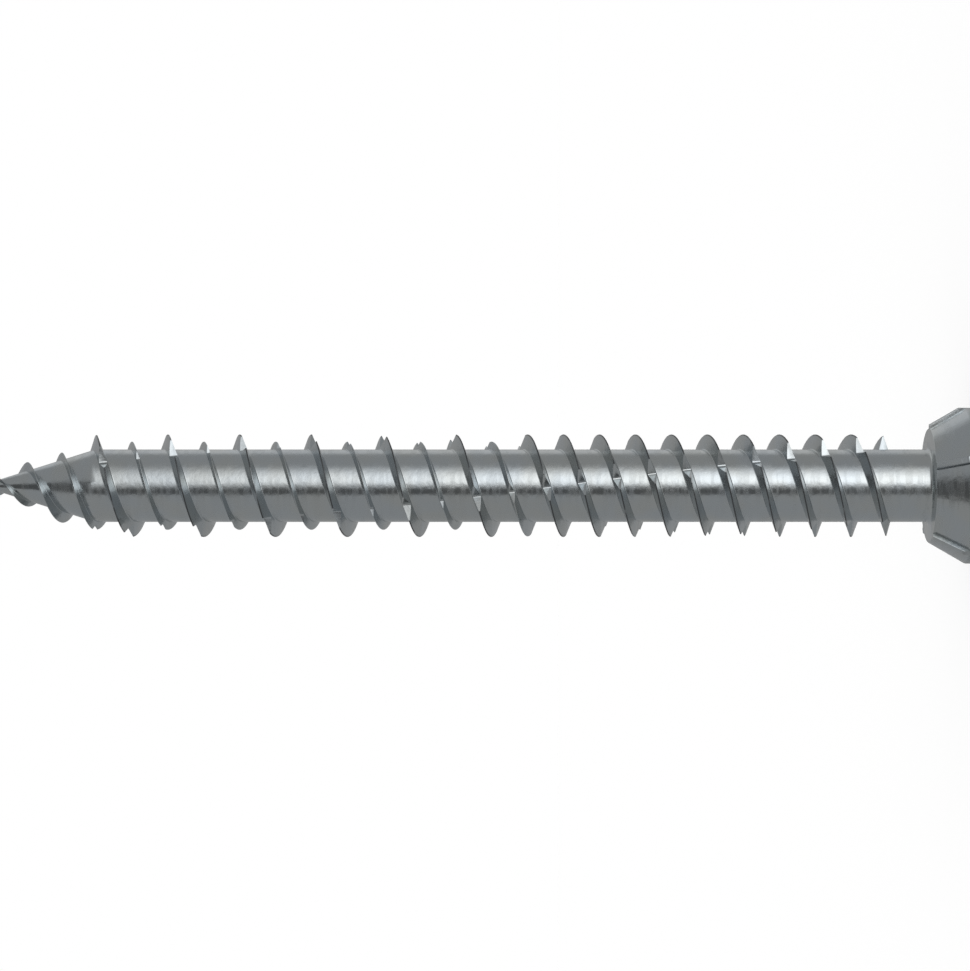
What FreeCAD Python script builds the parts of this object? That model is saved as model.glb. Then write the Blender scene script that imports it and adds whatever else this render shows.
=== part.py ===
import FreeCAD, Part

import os
from math import asin, atan, cos, degrees, floor, hypot, pi, radians, sin, tan

Vector = FreeCAD.Vector
Z_AXIS = Vector(0, 0, 1)
X_AXIS = Vector(1, 0, 0)
ORIGIN = Vector(0, 0, 0)

# A frame screw stands on its head: the head's flat face is at z = 0 and the tip points up.
# All sizes are in millimetres and all angles in degrees.
overall_length = 73.0

# Countersunk head
head_diameter = 11.4
rim_height = 0.94
rim_chamfer = 0.12
countersink_height = 2.66
countersink_half_angle = 30.0
neck_flare = 0.28

# Cutting ribs under the head
rib_count = 5
rib_width = 0.48
rib_height = 0.31
rib_first_angle = -76.8

# Six-lobe recess
recess_outer_diameter = 5.6
recess_inner_diameter = 3.95
recess_lobe_radius = 0.45
recess_floor_wall = 0.5
recess_lobes = 6
recess_drill_angle = 60.0

# Plain core and pointed tip
core_diameter = 5.3
tip_half_angle = 17.4

# Two-start right-hand thread: the tall start runs all along, the other one begins low
thread_diameter = 7.5
low_thread_diameter = 6.45
thread_lead_length = 5.26
thread_end = 6.9
thread_end_angle = 18.2
tip_flank_angle = 15.1
head_flank_angle = 16.75
low_thread_bottom = 35.4
low_thread_ramp = 2.7

# How the two crests close in on the point: a cone a little wider than the core's
tall_crest_half_angle = 21.4
tall_crest_lead_in = 1.07
low_crest_half_angle = 18.5
low_crest_lead_in = 0.88
point_gap = 0.9
point_fade = 1.6
least_rise = 0.05

# Cutting notches, where the crests cross three long left-hand rows
notch_rows = 3
notch_row_lead_length = 141.1
notch_row_angle = -29.1
notch_angle = 100.0
notch_clearance = 0.17
notch_tip_gap = 8.0

# The shank and the thread are flat facets, with corners at these even stations around the axis
stations_per_turn = 30

# How far a ridge is sunk into the core, how far a notch's cutter passes the ridge,
# and how near to each other edges have to be to become one
sink_depth = 0.12
cutter_reach = 0.9
cutter_overrun = 0.6
join_tolerance = 0.0001

core_radius = core_diameter / 2
rim_radius = head_diameter / 2
head_height = rim_height + countersink_height
shoulder_radius = rim_radius - countersink_height * tan(radians(countersink_half_angle))
cone_base = overall_length - core_radius / tan(radians(tip_half_angle))


def polar(radius, angle, z):
    return Vector(radius * cos(angle), radius * sin(angle), z)


def station_angle(first_angle, index):
    return radians(first_angle + 360 * index / stations_per_turn)


def flat_face(corners):
    sides = [Part.LineSegment(a, b).toShape() for a, b in zip(corners, corners[1:] + corners[:1])]
    return Part.Face(Part.Wire(sides))


def closed_solid(faces):
    shell = Part.Shell(faces)
    shell.sewShape()
    solid = Part.Solid(shell)
    if solid.Volume < 0:
        solid.reverse()
    return solid


def revolve(section):
    return flat_face(section).revolve(ORIGIN, Z_AXIS, 360)


def turned_head():
    # The half section, from the middle of the head face out to the rim and in to the shoulder
    return revolve([
        ORIGIN,
        Vector(rim_radius - rim_chamfer, 0, 0),
        Vector(rim_radius, 0, rim_chamfer),
        Vector(rim_radius, 0, rim_height),
        Vector(shoulder_radius, 0, head_height),
        Vector(0, 0, head_height),
    ])


def cutting_ribs():
    # Bars with parallel sides that lie on the cone and end flush with the rim and the shoulder
    slope = tan(radians(countersink_half_angle))
    rise = (rim_radius - shoulder_radius - rib_height) / slope
    flush_z = head_height - rise
    ring = revolve([
        Vector(shoulder_radius - rib_height, 0, head_height),
        Vector(shoulder_radius + rib_height, 0, head_height),
        Vector(rim_radius, 0, flush_z),
        Vector(rim_radius, 0, rim_height),
        Vector(rim_radius - rib_height, 0, rim_height),
    ])
    bars = []
    for index in range(rib_count):
        bar = Part.makeBox(head_diameter, rib_width, head_height)
        bar.translate(Vector(0, -rib_width / 2, 0))
        bar.rotate(ORIGIN, Z_AXIS, rib_first_angle + index * 360 / rib_count)
        bars.append(ring.common(bar))
    return bars


def drive_recess():
    # Six round lobes joined by hollow arcs that meet them without a corner
    outer = recess_outer_diameter / 2
    inner = recess_inner_diameter / 2
    lobe = recess_lobe_radius
    centre = outer - lobe
    step = pi / recess_lobes
    projected = centre * cos(step)
    hollow = (lobe**2 - inner**2 + 2 * inner * projected - centre**2) / (2 * (inner - projected - lobe))
    hollow_centre = inner + hollow
    # The meeting point lies on the line between the two arcs' centres
    meet = polar(centre, 0, 0) + (polar(hollow_centre, step, 0) - polar(centre, 0, 0)) * (
        lobe / (lobe + hollow)
    )
    meet_radius = hypot(meet.x, meet.y)
    meet_angle = asin(meet.y / meet_radius)
    edges = []
    for index in range(recess_lobes):
        middle = 2 * step * index
        before = polar(meet_radius, middle - meet_angle, 0)
        after = polar(meet_radius, middle + meet_angle, 0)
        following = polar(meet_radius, middle + 2 * step - meet_angle, 0)
        edges.append(Part.Arc(before, polar(outer, middle, 0), after).toShape())
        edges.append(Part.Arc(after, polar(inner, middle + step, 0), following).toShape())
    depth = head_height - recess_floor_wall
    socket = Part.Face(Part.Wire(edges)).extrude(Z_AXIS * depth)
    drill_depth = inner / tan(radians(recess_drill_angle))
    drilled_floor = Part.makeCone(inner, 0, drill_depth, Z_AXIS * depth)
    return socket.fuse(drilled_floor)


def faceted_shank():
    # Rings of corners from inside the head to the start of the cone, then the point itself
    neck_radius = core_radius + neck_flare
    profile = [
        (neck_radius, rim_height),
        (neck_radius, head_height),
        (core_radius, head_height + neck_flare),
        (core_radius, cone_base),
    ]
    angles = [station_angle(thread_end_angle, index) for index in range(stations_per_turn)]
    rings = [[polar(radius, angle, z) for angle in angles] for radius, z in profile]
    point = Vector(0, 0, overall_length)
    faces = [flat_face(rings[0])]
    for index in range(stations_per_turn):
        following = (index + 1) % stations_per_turn
        for low, high in zip(rings, rings[1:]):
            faces.append(flat_face([low[index], low[following], high[following], high[index]]))
        faces.append(flat_face([rings[-1][index], rings[-1][following], point]))
    return closed_solid(faces)


def radius_of_core(z):
    return min(core_radius, (overall_length - z) * tan(radians(tip_half_angle)))


def crest_radius(z, low_start):
    # The crest follows its own cone near the point and almost dies away just before it
    below_tip = overall_length - z
    half_angle = low_crest_half_angle if low_start else tall_crest_half_angle
    lead_in = low_crest_lead_in if low_start else tall_crest_lead_in
    tall = thread_diameter / 2
    if low_start:
        low = low_thread_diameter / 2
        share = (z - low_thread_bottom + low_thread_ramp) / low_thread_ramp
        tall += (low - tall) * min(max(share, 0), 1)
    crest = min(tall, (below_tip + lead_in) * tan(radians(half_angle)))
    fade = min(max((below_tip - point_gap) / point_fade, 0), 1)
    return radius_of_core(z) + max((crest - radius_of_core(z)) * fade, least_rise)


def ridge(end_angle, low_start):
    # A wedge-shaped ridge with its foot sunk in the core, in facets between three rails.
    # At its last station the crest dips under the surface too.
    climb = thread_lead_length / stations_per_turn
    count = floor((overall_length - point_gap - thread_end) / climb)
    crest, tip_foot, head_foot = [], [], []
    for index in range(count + 1):
        z = thread_end + climb * index
        angle = station_angle(end_angle, index)
        outer = crest_radius(z, low_start) if index < count else radius_of_core(z) - sink_depth / 2
        foot = radius_of_core(z) - sink_depth
        rise = outer - foot
        crest.append(polar(outer, angle, z))
        tip_foot.append(polar(foot, angle, z + rise * tan(radians(tip_flank_angle))))
        head_foot.append(polar(foot, angle, z - rise * tan(radians(head_flank_angle))))
    faces = [flat_face([rail[end] for rail in (crest, tip_foot, head_foot)]) for end in (0, -1)]
    for near, far in ((crest, tip_foot), (tip_foot, head_foot), (head_foot, crest)):
        for index in range(count):
            faces.append(flat_face([near[index], near[index + 1], far[index]]))
            faces.append(flat_face([near[index + 1], far[index + 1], far[index]]))
    return closed_solid(faces)


def notch_cutters(end_angle):
    # A V-shaped wedge at each place where this ridge crosses one of the rows
    root = core_radius + notch_clearance
    outer = thread_diameter / 2 + cutter_overrun
    half_width = (outer - root) * tan(radians(notch_angle / 2))
    wedge = flat_face([
        Vector(root, 0, -cutter_reach),
        Vector(outer, half_width, -cutter_reach),
        Vector(outer, -half_width, -cutter_reach),
    ]).extrude(Z_AXIS * 2 * cutter_reach)
    wedge.rotate(ORIGIN, X_AXIS, degrees(atan(2 * pi * root / notch_row_lead_length)))
    spacing = 360 / notch_rows
    closing_rate = 360 / thread_lead_length + 360 / notch_row_lead_length
    first = (notch_row_angle - end_angle) % spacing
    notched_length = overall_length - notch_tip_gap - thread_end
    count = floor((notched_length * closing_rate - first) / spacing) + 1
    cutters = []
    for index in range(count):
        climb = (first + index * spacing) / closing_rate
        cutter = wedge.copy()
        cutter.rotate(ORIGIN, Z_AXIS, end_angle + 360 * climb / thread_lead_length)
        cutter.translate(Vector(0, 0, thread_end + climb))
        cutters.append(cutter)
    return cutters


def notched_ridges():
    ridges = []
    for end_angle, low_start in ((thread_end_angle, False), (thread_end_angle + 180, True)):
        ridges.append(ridge(end_angle, low_start).cut(notch_cutters(end_angle)))
    return ridges


def frame_screw():
    head = turned_head().fuse(cutting_ribs())
    threaded_shank = faceted_shank().fuse(notched_ridges(), join_tolerance)
    return head.fuse(threaded_shank).cut(drive_recess())


os.makedirs("parts", exist_ok=True)
screw = frame_screw()
print("frame_screw", len(screw.Solids), "solid, valid", screw.isValid(), round(screw.Volume, 2), "mm3")
screw.exportStep("parts/frame_screw.step")
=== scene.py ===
from math import atan, atan2, cos, floor, hypot, pi, radians, sin, sqrt, tan

import bmesh
import bpy
from mathutils import Matrix, Vector


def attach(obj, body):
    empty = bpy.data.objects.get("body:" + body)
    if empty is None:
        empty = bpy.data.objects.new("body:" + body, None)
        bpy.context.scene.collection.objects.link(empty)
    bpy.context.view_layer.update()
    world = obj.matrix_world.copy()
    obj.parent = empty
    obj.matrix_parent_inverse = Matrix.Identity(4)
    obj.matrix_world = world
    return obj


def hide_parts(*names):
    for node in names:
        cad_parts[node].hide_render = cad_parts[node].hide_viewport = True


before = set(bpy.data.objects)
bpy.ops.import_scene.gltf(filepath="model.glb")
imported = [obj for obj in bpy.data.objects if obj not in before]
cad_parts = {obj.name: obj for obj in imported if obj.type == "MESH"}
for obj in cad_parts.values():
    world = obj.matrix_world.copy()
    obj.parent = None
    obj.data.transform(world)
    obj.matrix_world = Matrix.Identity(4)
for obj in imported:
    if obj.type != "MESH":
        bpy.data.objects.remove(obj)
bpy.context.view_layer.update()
print("frame loaded:", list(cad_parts))

# The screw is modelled in millimetres around the Z axis, head at z = 0, and made metres at the end
screwShape = {
    "length": 73.0,
    "coreRadius": 2.65,
    "tipHalfAngle": 17.4,
    "bluntTip": 0.2,  # the last part of the cone closes in on one point
    "rimRadius": 5.7,
    "rimHeight": 0.94,
    "rimRounding": 0.14,
    "coneHeight": 2.66,
    "coneHalfAngle": 30.0,
    "shoulderRounding": 0.05,
    "neckRounding": 0.28,
    "roundingSteps": 5,
    "stations": 120,  # columns of vertices in each turn
    "mergeGap": 0.006,  # between the stacked turns of the thread
    "cleanGap": 0.0005,  # between points that a cut leaves side by side
    "smoothLimit": 32.0,  # edges that bend more than this stay sharp
}

threadShape = {
    "lead": 5.26,
    "tallRadius": 3.75,
    "lowRadius": 3.225,
    "end": 6.9,
    "endAngle": 18.2,
    "extraStations": 2,  # the ridges run this much further towards the head than the solid's
    "endSlope": 0.1,  # share of a station that each end face leans
    "tipFlank": 15.1,
    "headFlank": 16.75,
    "rootRounding": 0.06,
    "rootSteps": 3,
    "support": 0.03,  # extra points beside the rounding keep the shading of core and flank even
    "crestHalfWidth": 0.035,
    "crestMiddle": 0.4,  # share of the crest's width that is level
    "crestDrop": 0.012,
    "lowBottom": 35.4,  # from here up to the tip the second ridge is low
    "lowRamp": 2.7,  # and it comes down over this length
    "tallCrestCone": (21.2, 1.0),  # half angle and lead-in of the cone that the crest follows
    "lowCrestCone": (19.4, 0.89),
    "pointGap": 0.3,  # the crests are gone this far before the point
    "pointFade": 0.9,  # and fade out over this length
    "tipLagFrom": 64.5,
    "tipLag": 0.028,  # past there the crests fall back, by this for each millimetre
    "leastWidth": 0.25,  # the section's width doesn't shrink past this share near the point
}

coneSlope = tan(radians(screwShape["coneHalfAngle"]))
tipSlope = tan(radians(screwShape["tipHalfAngle"]))
headHeight = screwShape["rimHeight"] + screwShape["coneHeight"]
shoulderRadius = screwShape["rimRadius"] - screwShape["coneHeight"] * coneSlope
tipBase = screwShape["length"] - screwShape["coreRadius"] / tipSlope
fullHeight = threadShape["tallRadius"] - screwShape["coreRadius"]
climb = threadShape["lead"] / screwShape["stations"]
stationAngle = 2 * pi / screwShape["stations"]
quarterLead = threadShape["lead"] / 4
extraStations = threadShape["extraStations"]
threadEnd = threadShape["end"] - extraStations * climb
threadEndAngle = threadShape["endAngle"] - 360 * extraStations / screwShape["stations"]
nearly = 0.001  # places this close count as the same


def coreAt(z):
    return min(screwShape["coreRadius"], (screwShape["length"] - z) * tipSlope)


def ridgeHeight(z, isLow):
    belowTip = screwShape["length"] - z
    halfAngle, leadIn = threadShape["lowCrestCone" if isLow else "tallCrestCone"]
    radius = threadShape["tallRadius"]
    if isLow:
        share = (z - threadShape["lowBottom"] + threadShape["lowRamp"]) / threadShape["lowRamp"]
        radius += (threadShape["lowRadius"] - radius) * min(max(share, 0), 1)
    radius = min(radius, (belowTip + leadIn) * tan(radians(halfAngle)))
    fade = min(max((belowTip - threadShape["pointGap"]) / threadShape["pointFade"], 0), 1)
    return (radius - coreAt(z)) * fade


def rootCorner(side):
    # Where a flank would meet the core, and how far its rounding reaches from there
    slope = tan(radians(threadShape["tipFlank" if side > 0 else "headFlank"]))
    corner = threadShape["crestHalfWidth"] + fullHeight * slope
    reach = threadShape["rootRounding"] * tan(pi / 4 - atan(slope) / 2)
    return corner, reach, atan(slope)


def halfSection(side):
    # Offsets from the crest and heights over the core, from the core outwards in to the crest
    corner, reach, lean = rootCorner(side)
    rounding, support = threadShape["rootRounding"], threadShape["support"]
    points = [
        ((corner + reach + quarterLead) / 2, 0),
        (corner + reach + support, 0),
    ]
    for step in range(threadShape["rootSteps"] + 1):
        turn = (pi / 2 - lean) * step / threadShape["rootSteps"]
        points.append((corner + reach - rounding * sin(turn), rounding * (1 - cos(turn))))
    offset, height = points[-1]
    points.append((offset - support * sin(lean), height + support * cos(lean)))
    points.append((threadShape["crestHalfWidth"], fullHeight - threadShape["crestDrop"]))
    points.append((threadShape["crestHalfWidth"] * threadShape["crestMiddle"], fullHeight))
    return [(side * offset, height) for offset, height in points]


def threadedTube():
    # One lead's section with both ridges is spun up once round, and copies of that turn are stacked
    section = [(-quarterLead, 0)] + halfSection(-1) + halfSection(1)[::-1]
    lowest = headHeight - 2 * threadShape["lead"]
    firstStation = floor((lowest - threadEnd) / climb)
    turns = int((screwShape["length"] - lowest) / threadShape["lead"]) + 3  # past the tip
    mesh = bmesh.new()
    row = []
    for crest in (0, 2 * quarterLead):
        for offset, height in section:
            z = threadEnd + firstStation * climb + crest + offset
            row.append(mesh.verts.new((screwShape["coreRadius"] + height, 0, z)))
    row.append(mesh.verts.new(row[0].co + Vector((0, 0, threadShape["lead"]))))
    for low, high in zip(row, row[1:]):
        mesh.edges.new((low, high))
    startAngle = radians(threadEndAngle) + firstStation * stationAngle
    bmesh.ops.rotate(mesh, verts=mesh.verts, cent=(0, 0, 0), matrix=Matrix.Rotation(startAngle, 3, "Z"))
    bmesh.ops.spin(
        mesh, geom=mesh.verts[:] + mesh.edges[:], cent=(0, 0, 0), axis=(0, 0, 1),
        dvec=(0, 0, climb), angle=2 * pi, steps=screwShape["stations"], use_merge=False,
    )
    turn = mesh.verts[:] + mesh.edges[:] + mesh.faces[:]
    for index in range(1, turns):
        made = bmesh.ops.duplicate(mesh, geom=turn)["geom"]
        copied = [item for item in made if isinstance(item, bmesh.types.BMVert)]
        bmesh.ops.translate(mesh, verts=copied, vec=(0, 0, index * threadShape["lead"]))
    bmesh.ops.remove_doubles(mesh, verts=mesh.verts, dist=screwShape["mergeGap"])
    return mesh


def settleThread(mesh):
    # Each vertex finds its crest, then takes the height and width that the ridge has there
    lead = threadShape["lead"]
    for vert in mesh.verts:
        radius = hypot(vert.co.x, vert.co.y)
        angle = atan2(vert.co.y, vert.co.x)
        turn = (vert.co.z - threadEnd) / lead - (angle - radians(threadEndAngle)) / (2 * pi)
        offset = ((turn + 0.5) % 1 - 0.5) * lead
        isLow = abs(offset) > quarterLead
        if isLow:
            offset -= lead / 2 if offset > 0 else -lead / 2
        crestZ = vert.co.z - offset
        side = 1 if offset > 0 else -1
        corner, reach, _ = rootCorner(side)
        foot = corner + reach
        beforeEnd = (threadEnd - crestZ) / climb
        share = ridgeHeight(crestZ, isLow) / fullHeight
        width = max(share, threadShape["leastWidth"])
        if beforeEnd > 0.5:  # there is no ridge below its end
            share, width = 0, 1
        distance = abs(offset)
        if distance <= foot + nearly:
            moved = distance * width
        else:
            moved = foot * width + (distance - foot) * (quarterLead - foot * width) / (quarterLead - foot)
        z = crestZ + side * moved
        if 0.5 < beforeEnd < 1.5 and distance <= foot + nearly:
            # The first column below the end comes up close to it, which makes the end face
            angle += (1 - threadShape["endSlope"]) * stationAngle
            z += (1 - threadShape["endSlope"]) * climb
        z -= threadShape["tipLag"] * max(0, z - threadShape["tipLagFrom"])
        radius = screwShape["coreRadius"] + (radius - screwShape["coreRadius"]) * share
        vert.co = (radius * cos(angle), radius * sin(angle), z)


def cutAcross(mesh, z, below=False, above=False):
    bmesh.ops.bisect_plane(
        mesh, geom=mesh.verts[:] + mesh.edges[:] + mesh.faces[:], dist=screwShape["cleanGap"],
        plane_co=(0, 0, z), plane_no=(0, 0, 1), clear_inner=below, clear_outer=above,
    )


def rimEdges(mesh, z):
    return [edge for edge in mesh.edges if edge.is_boundary and abs(edge.verts[0].co.z - z) < nearly]


def nextRing(mesh, edges, radius, z):
    # Extrudes the open ring and sets all its new corners on one circle
    made = bmesh.ops.extrude_edge_only(mesh, edges=edges)["geom"]
    for vert in (item for item in made if isinstance(item, bmesh.types.BMVert)):
        scale = radius / hypot(vert.co.x, vert.co.y)
        vert.co = (vert.co.x * scale, vert.co.y * scale, z)
    return [item for item in made if isinstance(item, bmesh.types.BMEdge)]


def roundedCorner(before, corner, after, distance, steps):
    # Points of a smooth bend that starts and ends at that distance from the corner
    start = corner + (before - corner).normalized() * distance
    end = corner + (after - corner).normalized() * distance
    points = []
    for step in range(steps + 1):
        share = step / steps
        points.append(start * (1 - share) ** 2 + corner * 2 * share * (1 - share) + end * share**2)
    return points


def headRings():
    # Radius and height of each ring, from the neck down to the head's flat face
    steps = screwShape["roundingSteps"]
    neck = screwShape["neckRounding"]
    coreRadius = screwShape["coreRadius"]
    rings = []
    for step in range(1, steps + 1):
        turn = pi / 2 * step / steps
        rings.append((coreRadius + neck * (1 - cos(turn)), headHeight + neck * (1 - sin(turn))))
    neckFoot = Vector((coreRadius + neck, headHeight))
    shoulder = Vector((shoulderRadius, headHeight))
    rimTop = Vector((screwShape["rimRadius"], screwShape["rimHeight"]))
    rimFoot = Vector((screwShape["rimRadius"], 0))
    middle = Vector((0, 0))
    corners = [neckFoot, shoulder, rimTop, rimFoot, middle]
    roundings = [screwShape["shoulderRounding"], screwShape["shoulderRounding"], screwShape["rimRounding"]]
    for before, corner, after, distance in zip(corners, corners[1:], corners[2:], roundings):
        rings += [tuple(point) for point in roundedCorner(before, corner, after, distance, steps)]
    return rings


def plainScrew():
    mesh = threadedTube()
    settleThread(mesh)
    neckTop = headHeight + screwShape["neckRounding"]
    tipRing = screwShape["length"] - screwShape["bluntTip"]
    cutAcross(mesh, neckTop, below=True)
    cutAcross(mesh, tipRing, above=True)
    cutAcross(mesh, tipBase)
    # The tip's part of the tube closes in on the cone
    for vert in mesh.verts:
        radius = hypot(vert.co.x, vert.co.y)
        scale = (radius - screwShape["coreRadius"] + coreAt(vert.co.z)) / radius
        vert.co = (vert.co.x * scale, vert.co.y * scale, vert.co.z)
    made = bmesh.ops.extrude_edge_only(mesh, edges=rimEdges(mesh, tipRing))["geom"]
    tipVerts = [item for item in made if isinstance(item, bmesh.types.BMVert)]
    bmesh.ops.pointmerge(mesh, verts=tipVerts, merge_co=(0, 0, screwShape["length"]))
    edges = rimEdges(mesh, neckTop)
    for radius, z in headRings():
        edges = nextRing(mesh, edges, radius, z)
    bmesh.ops.edgeloop_fill(mesh, edges=edges)
    bmesh.ops.recalc_face_normals(mesh, faces=mesh.faces)
    return mesh


ribShape = {
    "angles": (-70.7, -4.8, 67.2, 139.2, 211.2),  # the first one faces the camera
    "width": 0.48,
    "height": 0.31,
    "edge": 0.05,
    "edgeSteps": 3,
    "inset": 0.004,  # keeps the rib's ends just off the shoulder and the rim
}


def ribBars():
    # One bar is made on the X axis and copied to each angle
    mesh = bmesh.new()
    rimRadius = screwShape["rimRadius"] - ribShape["inset"]
    topZ = headHeight - ribShape["inset"]
    outerTop = shoulderRadius + ribShape["height"]
    flushZ = topZ - (rimRadius - outerTop) / coneSlope
    corners = [
        (shoulderRadius - ribShape["height"], topZ),
        (outerTop, topZ),
        (rimRadius, flushZ),
        (rimRadius, screwShape["rimHeight"]),
        (rimRadius - ribShape["height"], screwShape["rimHeight"]),
    ]
    side = mesh.faces.new([mesh.verts.new((x, -ribShape["width"] / 2, z)) for x, z in corners])
    made = bmesh.ops.extrude_face_region(mesh, geom=[side])["geom"]
    moved = [item for item in made if isinstance(item, bmesh.types.BMVert)]
    bmesh.ops.translate(mesh, verts=moved, vec=(0, ribShape["width"], 0))
    bmesh.ops.recalc_face_normals(mesh, faces=mesh.faces)
    longEdges = [
        edge for edge in mesh.edges
        if abs(edge.verts[0].co.y - edge.verts[1].co.y) < nearly
        and min(vert.co.x for vert in edge.verts) > shoulderRadius
        and (edge.verts[0].co - edge.verts[1].co).length > 2 * ribShape["width"]
    ]
    bmesh.ops.bevel(
        mesh, geom=longEdges, offset=ribShape["edge"], offset_type="OFFSET", affect="EDGES",
        segments=ribShape["edgeSteps"], profile=0.5, material=-1,
    )
    first = mesh.verts[:] + mesh.edges[:] + mesh.faces[:]
    for angle in ribShape["angles"]:
        made = bmesh.ops.duplicate(mesh, geom=first)["geom"]
        turned = [item for item in made if isinstance(item, bmesh.types.BMVert)]
        turn = Matrix.Rotation(radians(angle), 3, "Z")
        bmesh.ops.rotate(mesh, verts=turned, cent=(0, 0, 0), matrix=turn)
    pattern = [item for item in first if isinstance(item, bmesh.types.BMVert)]
    bmesh.ops.delete(mesh, geom=pattern, context="VERTS")
    return mesh


recessShape = {
    "outerRadius": 2.8,
    "innerRadius": 1.975,
    "lobeRadius": 0.45,
    "lobes": 6,
    "floorWall": 0.5,
    "drillAngle": 60.0,
    "points": 180,
    "mouthBevel": 0.09,
    "overrun": 0.5,  # how far the cutter starts outside the head
    "floorShare": 0.999,  # keeps the round floor just inside the hollows
}


def lobedRadius(angle):
    # The six-lobe outline: a round lobe at each sixth, then a hollow arc that meets it smoothly
    outer, inner, lobe = recessShape["outerRadius"], recessShape["innerRadius"], recessShape["lobeRadius"]
    step = pi / recessShape["lobes"]
    centre = outer - lobe
    projected = centre * cos(step)
    hollow = (lobe**2 - inner**2 + 2 * inner * projected - centre**2) / (2 * (inner - projected - lobe))
    hollowCentre = inner + hollow
    meet = Vector((centre, 0)).lerp(
        Vector((hollowCentre * cos(step), hollowCentre * sin(step))), lobe / (lobe + hollow)
    )
    local = abs((angle + step) % (2 * step) - step)
    if local <= atan2(meet.y, meet.x):
        return centre * cos(local) + sqrt(lobe**2 - (centre * sin(local)) ** 2)
    away = step - local
    return hollowCentre * cos(away) - sqrt(hollow**2 - (hollowCentre * sin(away)) ** 2)


def recessCutter():
    # One ring is taken down from level to level: mouth, walls, and a round drilled floor
    mesh = bmesh.new()
    depth = headHeight - recessShape["floorWall"]
    floorDepth = depth + recessShape["innerRadius"] / tan(radians(recessShape["drillAngle"]))
    bevel, overrun = recessShape["mouthBevel"], recessShape["overrun"]
    ring = bmesh.ops.create_circle(mesh, segments=recessShape["points"], radius=1, cap_ends=False)["verts"]
    edges = mesh.edges[:]
    levels = [(-overrun, bevel + overrun, False), (bevel, 0, False), (depth, 0, False), (depth, 0, True)]
    for number, (z, growth, isRound) in enumerate(levels):
        if number:
            made = bmesh.ops.extrude_edge_only(mesh, edges=edges)["geom"]
            ring = [item for item in made if isinstance(item, bmesh.types.BMVert)]
            edges = [item for item in made if isinstance(item, bmesh.types.BMEdge)]
        for vert in ring:
            angle = atan2(vert.co.y, vert.co.x)
            radius = lobedRadius(angle) + growth
            if isRound:
                radius = recessShape["innerRadius"] * recessShape["floorShare"]
            vert.co = (radius * cos(angle), radius * sin(angle), z)
        if not number:
            bmesh.ops.edgeloop_fill(mesh, edges=edges)
    made = bmesh.ops.extrude_edge_only(mesh, edges=edges)["geom"]
    ring = [item for item in made if isinstance(item, bmesh.types.BMVert)]
    bmesh.ops.pointmerge(mesh, verts=ring, merge_co=(0, 0, floorDepth))
    bmesh.ops.recalc_face_normals(mesh, faces=mesh.faces)
    return mesh


notchShape = {
    "rows": 3,
    "rowLead": 141.1,  # the rows run the other way round than the thread
    "rowAngle": -29.1,
    "angle": 100.0,
    "clearance": 0.125,
    "rootRounding": 0.126,
    "rootSteps": 4,
    "tipGap": 8.0,
    "reach": 0.9,  # how far a cutter passes the crest to each side
    "overrun": 0.6,
}


def notchCutter():
    # A three-sided prism for each place where a ridge crosses one of the rows
    mesh = bmesh.new()
    root = screwShape["coreRadius"] + notchShape["clearance"]
    outer = threadShape["tallRadius"] + notchShape["overrun"]
    halfWidth = (outer - root) * tan(radians(notchShape["angle"] / 2))
    lean = Matrix.Rotation(atan(2 * pi * root / notchShape["rowLead"]), 4, "X")
    closing = 360 / threadShape["lead"] + 360 / notchShape["rowLead"]
    spacing = 360 / notchShape["rows"]
    length = screwShape["length"] - notchShape["tipGap"] - threadEnd
    rootEdges = []
    # A three-sided cone without a taper is the prism: its corners are set to the V, root in the middle
    for endAngle in (threadEndAngle, threadEndAngle + 180):
        first = (notchShape["rowAngle"] - endAngle) % spacing
        for index in range(floor((length * closing - first) / spacing) + 1):
            rise = (first + index * spacing) / closing
            turn = Matrix.Rotation(radians(endAngle + 360 * rise / threadShape["lead"]), 4, "Z")
            lift = Matrix.Translation((0, 0, threadEnd + rise))
            prism = bmesh.ops.create_cone(
                mesh, cap_ends=True, segments=3, radius1=1, radius2=1, depth=2 * notchShape["reach"],
            )["verts"]
            corners = sorted(prism, key=lambda vert: round(atan2(vert.co.y, vert.co.x), 3))
            places = [(outer, -halfWidth), (root, 0), (outer, halfWidth)]
            for number, vert in enumerate(corners):
                x, y = places[number // 2]
                vert.co = (x, y, vert.co.z)
            bmesh.ops.transform(mesh, verts=prism, matrix=lift @ turn @ lean)
            rootEdges.append(mesh.edges.get(corners[2:4]))
    bmesh.ops.bevel(
        mesh, geom=rootEdges, offset=notchShape["rootRounding"], offset_type="OFFSET", affect="EDGES",
        segments=notchShape["rootSteps"], profile=0.5, material=-1,
    )
    bmesh.ops.recalc_face_normals(mesh, faces=mesh.faces)
    return mesh


def asObject(mesh, name):
    # Takes a bmesh into the scene and frees it
    data = bpy.data.meshes.new(name)
    mesh.to_mesh(data)
    mesh.free()
    made = bpy.data.objects.new(name, data)
    bpy.context.scene.collection.objects.link(made)
    return made


def combine(target, other, operation):
    # Applies one boolean and removes the piece that it was made with
    modifier = target.modifiers.new(operation.lower(), "BOOLEAN")
    modifier.operation = operation
    modifier.solver = "EXACT"
    modifier.object = other
    evaluated = target.evaluated_get(bpy.context.evaluated_depsgraph_get())
    result = bpy.data.meshes.new_from_object(evaluated)
    target.modifiers.clear()
    old = target.data
    target.data = result
    bpy.data.meshes.remove(old)
    bpy.data.objects.remove(other)


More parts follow.
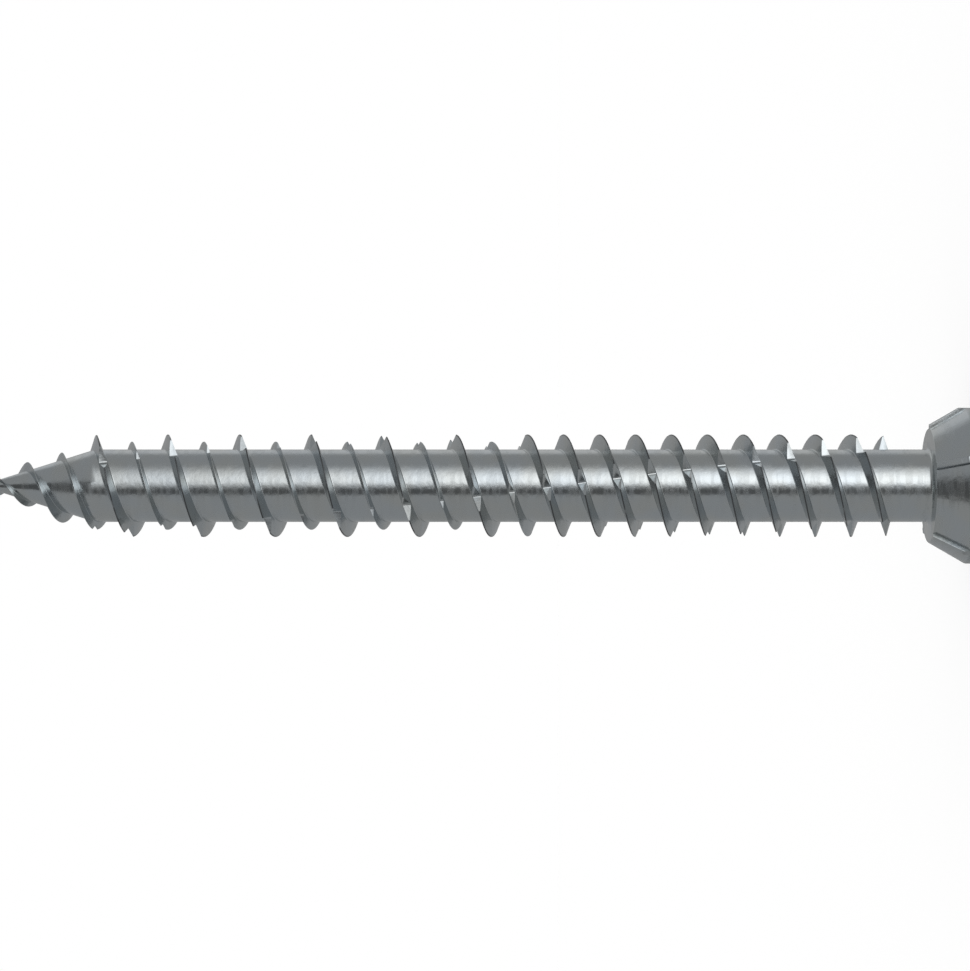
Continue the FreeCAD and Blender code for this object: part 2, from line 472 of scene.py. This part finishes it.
def finishedScrew():
    screw = asObject(plainScrew(), "frame_screw_body")
    print("plain screw:", len(screw.data.polygons), "faces")
    combine(screw, asObject(ribBars(), "ribs"), "UNION")
    combine(screw, asObject(recessCutter(), "recess"), "DIFFERENCE")
    combine(screw, asObject(notchCutter(), "notches"), "DIFFERENCE")
    mesh = bmesh.new()
    mesh.from_mesh(screw.data)
    bmesh.ops.remove_doubles(mesh, verts=mesh.verts, dist=screwShape["cleanGap"])
    bmesh.ops.dissolve_degenerate(mesh, edges=mesh.edges, dist=screwShape["cleanGap"])
    bmesh.ops.scale(mesh, vec=(0.001, 0.001, 0.001), verts=mesh.verts)
    for face in mesh.faces:
        face.smooth = True
    for edge in mesh.edges:
        edge.smooth = edge.calc_face_angle(0) < radians(screwShape["smoothLimit"])
    openEdges = sum(1 for edge in mesh.edges if len(edge.link_faces) != 2)
    mesh.to_mesh(screw.data)
    mesh.free()
    print("finished screw:", len(screw.data.polygons), "faces,", openEdges, "open edges")
    return screw


def newMaterial(name):
    material = bpy.data.materials.new(name)
    material.use_nodes = True
    material.node_tree.nodes.clear()
    return material, material.node_tree.nodes, material.node_tree.links


zincLook = {
    "coolTone": (0.485, 0.525, 0.55),
    "warmTone": (0.50, 0.525, 0.525),
    "paintedShadeTone": (0.11, 0.115, 0.12),  # painted shade: a dark line along the crests and, weaker, a darker rim
    "roughness": (0.165, 0.29),
    # roughness where the painted shade lies
    "shadedRoughness": 0.3,
    "grainScale": 2.4,  # this scale and the next ones are per millimetre
    "fineScale": 9.0,
    "patchScale": 0.35,
    "markScale": (0.35, 0.35, 2.3),  # the thread rolls leave bands that run round the core
    "shadeNoiseScale": 0.5,
    "patchRange": (0.35, 0.65),  # where each noise starts to count and where it counts in full
    "markRange": (0.42, 0.58),
    "speckleRange": (0.3, 0.7),
    "shadeNoiseRange": (0.3, 0.45),
    "leastSpeckle": 0.6,
    "fineShare": 0.12,  # of the fine noise in the grain's height
    "grainDepth": 0.000012,
    "crestPaintedShade": (3.65, 3.72),  # radius where the painted shade begins and where it is full
    "crestPaintedShadeAbove": (1.0, 1.1),  # the same for the height over the head
    # the rim's edge is darker by this share, from the first radius to the second
    "rimDarkening": (5.6, 5.7),
    "rimDarkeningShare": 0.3,
}


def newGroup(name, inputs, outputs):
    group = bpy.data.node_groups.new(name, "ShaderNodeTree")
    for side, sockets in (("INPUT", inputs), ("OUTPUT", outputs)):
        for socketName, kind in sockets:
            group.interface.new_socket(name=socketName, in_out=side, socket_type=kind)
    nodes = group.nodes
    return group, nodes, group.links, nodes.new("NodeGroupInput").outputs, nodes.new("NodeGroupOutput").inputs


def addNoise(nodes, links, place, scale, detail):
    noise = nodes.new("ShaderNodeTexNoise")
    noise.inputs["Scale"].default_value = scale
    noise.inputs["Detail"].default_value = detail
    links.new(place, noise.inputs["Vector"])
    return noise.outputs["Fac"]


def addMath(nodes, links, operation, *values):
    node = nodes.new("ShaderNodeMath")
    node.operation = operation
    for socket, value in zip(node.inputs, values):
        if isinstance(value, (int, float)):
            socket.default_value = value
        else:
            links.new(value, socket)
    return node.outputs[0]


def addRange(nodes, links, value, low, high, start=0.0, end=1.0):
    node = nodes.new("ShaderNodeMapRange")
    node.interpolation_type = "SMOOTHSTEP"
    for name, number in (("From Min", low), ("From Max", high), ("To Min", start), ("To Max", end)):
        node.inputs[name].default_value = number
    links.new(value, node.inputs["Value"])
    return node.outputs["Result"]


def platingGrain():
    # Height of the plating's grain, and where it is cooler and duller
    group, nodes, links, given, result = newGroup(
        "plating_grain", [("Place", "NodeSocketVector")],
        [("Height", "NodeSocketFloat"), ("Patch", "NodeSocketFloat"), ("Dullness", "NodeSocketFloat")],
    )
    grain = addNoise(nodes, links, given["Place"], zincLook["grainScale"], 2)
    fine = addNoise(nodes, links, given["Place"], zincLook["fineScale"], 2)
    patch = addNoise(nodes, links, given["Place"], zincLook["patchScale"], 3)
    stretched = nodes.new("ShaderNodeVectorMath")
    stretched.operation = "MULTIPLY"
    stretched.inputs[1].default_value = zincLook["markScale"]
    links.new(given["Place"], stretched.inputs[0])
    bands = addNoise(nodes, links, stretched.outputs[0], 1, 2)
    marks = addRange(nodes, links, bands, *zincLook["markRange"])
    height = addMath(nodes, links, "MULTIPLY_ADD", fine, zincLook["fineShare"], grain)
    links.new(height, result["Height"])
    links.new(addRange(nodes, links, patch, *zincLook["patchRange"]), result["Patch"])
    speckle = addRange(nodes, links, fine, *zincLook["speckleRange"], zincLook["leastSpeckle"])
    links.new(addMath(nodes, links, "MULTIPLY", marks, speckle), result["Dullness"])
    return group


def crestPaintedShade():
    # A mask of painted shade along the thread's crests and, weaker, of darkening on the head's rim, broken up
    # by noise
    group, nodes, links, given, result = newGroup(
        "crest_painted_shade", [("Place", "NodeSocketVector")], [("Painted Shade", "NodeSocketFloat")],
    )
    split = nodes.new("ShaderNodeSeparateXYZ")
    links.new(given["Place"], split.inputs[0])
    flat = nodes.new("ShaderNodeCombineXYZ")
    links.new(split.outputs["X"], flat.inputs["X"])
    links.new(split.outputs["Y"], flat.inputs["Y"])
    radius = nodes.new("ShaderNodeVectorMath")
    radius.operation = "LENGTH"
    links.new(flat.outputs[0], radius.inputs[0])
    low, high = (headHeight + above for above in zincLook["crestPaintedShadeAbove"])
    onThread = addRange(nodes, links, split.outputs["Z"], low, high)
    crest = addRange(nodes, links, radius.outputs["Value"], *zincLook["crestPaintedShade"])
    rim = addRange(nodes, links, radius.outputs["Value"], *zincLook["rimDarkening"], 0, zincLook["rimDarkeningShare"])
    both = addMath(nodes, links, "MAXIMUM", addMath(nodes, links, "MULTIPLY", crest, onThread), rim)
    noise = addNoise(nodes, links, given["Place"], zincLook["shadeNoiseScale"], 4)
    patches = addRange(nodes, links, noise, *zincLook["shadeNoiseRange"])
    links.new(addMath(nodes, links, "MULTIPLY", both, patches), result["Painted Shade"])
    return group


def zincMaterial():
    material, nodes, links = newMaterial("zinc_plating")
    output = nodes.new("ShaderNodeOutputMaterial")
    shader = nodes.new("ShaderNodeBsdfPrincipled")
    shader.inputs["Metallic"].default_value = 1.0
    links.new(shader.outputs["BSDF"], output.inputs["Surface"])
    coordinates = nodes.new("ShaderNodeTexCoord")
    millimetres = nodes.new("ShaderNodeVectorMath")
    millimetres.operation = "SCALE"
    millimetres.inputs["Scale"].default_value = 1000
    links.new(coordinates.outputs["Object"], millimetres.inputs[0])
    grain = nodes.new("ShaderNodeGroup")
    grain.node_tree = platingGrain()
    paintedShade = nodes.new("ShaderNodeGroup")
    paintedShade.node_tree = crestPaintedShade()
    for effect in (grain, paintedShade):
        links.new(millimetres.outputs[0], effect.inputs["Place"])
    tone = nodes.new("ShaderNodeMix")
    tone.data_type = "RGBA"
    tone.inputs["A"].default_value = (*zincLook["warmTone"], 1)
    tone.inputs["B"].default_value = (*zincLook["coolTone"], 1)
    links.new(grain.outputs["Patch"], tone.inputs["Factor"])
    # Painted shade: the mask turns the crests, and weaker the rim, dark steel grey
    withPaintedShade = nodes.new("ShaderNodeMix")
    withPaintedShade.data_type = "RGBA"
    withPaintedShade.inputs["B"].default_value = (*zincLook["paintedShadeTone"], 1)
    links.new(paintedShade.outputs["Painted Shade"], withPaintedShade.inputs["Factor"])
    links.new(tone.outputs["Result"], withPaintedShade.inputs["A"])
    links.new(withPaintedShade.outputs["Result"], shader.inputs["Base Color"])
    plain = addRange(nodes, links, grain.outputs["Dullness"], 0, 1, *zincLook["roughness"])
    rough = nodes.new("ShaderNodeMix")
    rough.inputs["B"].default_value = zincLook["shadedRoughness"]
    links.new(paintedShade.outputs["Painted Shade"], rough.inputs["Factor"])
    links.new(plain, rough.inputs["A"])
    links.new(rough.outputs["Result"], shader.inputs["Roughness"])
    bump = nodes.new("ShaderNodeBump")
    bump.inputs["Distance"].default_value = zincLook["grainDepth"]
    links.new(grain.outputs["Height"], bump.inputs["Height"])
    links.new(bump.outputs["Normal"], shader.inputs["Normal"])
    return material


screw = finishedScrew()
screw.data.materials.clear()
screw.data.materials.append(zincMaterial())
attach(screw, "root")
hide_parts("frame_screw")


studio = {
    "floorSize": 1.2,
    "floorGap": 0.00002,
    "floorColour": (0.8, 0.8, 0.8),
    "floorGlow": 0.2,  # with the light on it the floor comes to white, and its shadows stay
    "roomLight": 0.6,  # the world's light on the floor
    "lampStrength": 1.45,
    "lampAngle": 24.0,  # how wide the lamp looks from the floor
    "lampPlace": (180, 60),  # azimuth from the camera and elevation
    "cameraDistance": 0.2262,
    "cameraHeight": 0.036475,
    "cameraSide": 0.0000154,
    "lens": 114.64,
    "shiftX": 0.0062,
}

# A round tent of grey cloth that only the metal's reflections see. Each panel lights or darkens a part of
# it: azimuths from the camera towards the top of the picture, elevations, and the change in brightness.
# Each range gives where the panel begins, is full, is full no more, and ends.
tent = {
    "radius": 1.0,
    "grey": 0.37,
    "panels": {
        "longSoftbox": ((-6, 14, 20, 70), (-78, -10, -10, 24), 1.6),
        "cameraStand": ((-32, -24, -12, -4), (-18, -8, 16, 34), -0.26),
        "darkCeiling": ((-36, -26, 8, 24), (24, 40, 64, 86), -0.27),
        "backWall": ((112, 132, 146, 170), (-24, -6, 44, 64), 0.28),
    },
}


def seenDirectly(nodes, links, strength, otherwise=0.0):
    # Gives strength to camera, glossy and transmission rays and another value to the rest
    rays = nodes.new("ShaderNodeLightPath").outputs
    shiny = addMath(nodes, links, "MAXIMUM", rays["Is Glossy Ray"], rays["Is Transmission Ray"])
    direct = addMath(nodes, links, "MAXIMUM", rays["Is Camera Ray"], shiny)
    return addRange(nodes, links, direct, 0, 1, otherwise, strength)


def makeFloor():
    mesh = bmesh.new()
    bmesh.ops.create_grid(mesh, x_segments=1, y_segments=1, size=studio["floorSize"])
    bmesh.ops.translate(mesh, verts=mesh.verts, vec=(0, 0, -studio["floorGap"]))
    made = asObject(mesh, "floor")
    material, nodes, links = newMaterial("pale_floor")
    output = nodes.new("ShaderNodeOutputMaterial")
    add = nodes.new("ShaderNodeAddShader")
    diffuse = nodes.new("ShaderNodeBsdfDiffuse")
    diffuse.inputs["Color"].default_value = (*studio["floorColour"], 1)
    glow = nodes.new("ShaderNodeEmission")
    links.new(seenDirectly(nodes, links, studio["floorGlow"]), glow.inputs["Strength"])
    links.new(diffuse.outputs[0], add.inputs[0])
    links.new(glow.outputs[0], add.inputs[1])
    links.new(add.outputs[0], output.inputs["Surface"])
    made.data.materials.append(material)
    made.visible_glossy = False  # the metal reflects the tent alone


def makeWorld():
    world = bpy.data.worlds.new("white_room")
    world.use_nodes = True
    nodes, links = world.node_tree.nodes, world.node_tree.links
    nodes.clear()
    output = nodes.new("ShaderNodeOutputWorld")
    background = nodes.new("ShaderNodeBackground")
    background.inputs["Color"].default_value = (1, 1, 1, 1)
    links.new(seenDirectly(nodes, links, 1.0, studio["roomLight"]), background.inputs["Strength"])
    links.new(background.outputs[0], output.inputs["Surface"])
    bpy.context.scene.world = world


def makeTent():
    mesh = bmesh.new()
    bmesh.ops.create_uvsphere(mesh, u_segments=64, v_segments=32, radius=tent["radius"])
    bmesh.ops.reverse_faces(mesh, faces=mesh.faces)
    made = asObject(mesh, "light_tent")
    made.location.z = studio["cameraHeight"]
    material, nodes, links = newMaterial("light_tent")
    output = nodes.new("ShaderNodeOutputMaterial")
    glow = nodes.new("ShaderNodeEmission")
    place = nodes.new("ShaderNodeTexCoord")
    split = nodes.new("ShaderNodeSeparateXYZ")
    links.new(place.outputs["Object"], split.inputs[0])
    away = addMath(nodes, links, "MULTIPLY", split.outputs["Y"], -1)
    azimuth = addMath(nodes, links, "ARCTAN2", split.outputs["X"], away)
    height = addMath(nodes, links, "DIVIDE", split.outputs["Z"], tent["radius"])
    elevation = addMath(nodes, links, "ARCSINE", height)
    strength = tent["grey"]
    for azimuths, elevations, change in tent["panels"].values():
        share = change
        for value, (start, full, last, end) in ((azimuth, azimuths), (elevation, elevations)):
            rising = addRange(nodes, links, value, radians(start), radians(full))
            falling = addRange(nodes, links, value, radians(last), radians(end), 1, 0)
            within = addMath(nodes, links, "MULTIPLY", rising, falling)
            share = addMath(nodes, links, "MULTIPLY", within, share)
        strength = addMath(nodes, links, "ADD", share, strength)
    links.new(strength, glow.inputs["Strength"])
    links.new(glow.outputs[0], output.inputs["Surface"])
    made.data.materials.append(material)
    made.visible_camera = False
    made.visible_diffuse = False
    made.visible_shadow = False


def makeLamp():
    # One wide lamp behind the screw, so that the shadow falls out of the picture
    data = bpy.data.lights.new("back_lamp", "SUN")
    data.energy = studio["lampStrength"]
    data.angle = radians(studio["lampAngle"])
    lamp = bpy.data.objects.new("back_lamp", data)
    bpy.context.scene.collection.objects.link(lamp)
    azimuth, elevation = (radians(angle) for angle in studio["lampPlace"])
    away = Vector((sin(azimuth) * cos(elevation), -cos(azimuth) * cos(elevation), sin(elevation)))
    lamp.location = away
    lamp.rotation_mode = "QUATERNION"
    lamp.rotation_quaternion = away.to_track_quat("Z", "Y")
    lamp.visible_camera = False
    lamp.visible_glossy = False


def makeCamera():
    data = bpy.data.cameras.new("camera")
    data.lens = studio["lens"]
    data.sensor_width = 36
    data.shift_x = studio["shiftX"]
    data.clip_start, data.clip_end = 0.01, 10
    camera = bpy.data.objects.new("camera", data)
    bpy.context.scene.collection.objects.link(camera)
    # The picture's right is the screw's head end, as in the photo
    turn = Matrix(((0, 1, 0), (0, 0, -1), (-1, 0, 0))).to_4x4()
    place = Matrix.Translation((studio["cameraSide"], -studio["cameraDistance"], studio["cameraHeight"]))
    camera.matrix_world = place @ turn
    bpy.context.scene.camera = camera


makeFloor()
makeWorld()
makeTent()
makeLamp()
makeCamera()
bpy.context.scene.view_settings.view_transform = "Standard"
print("studio made")
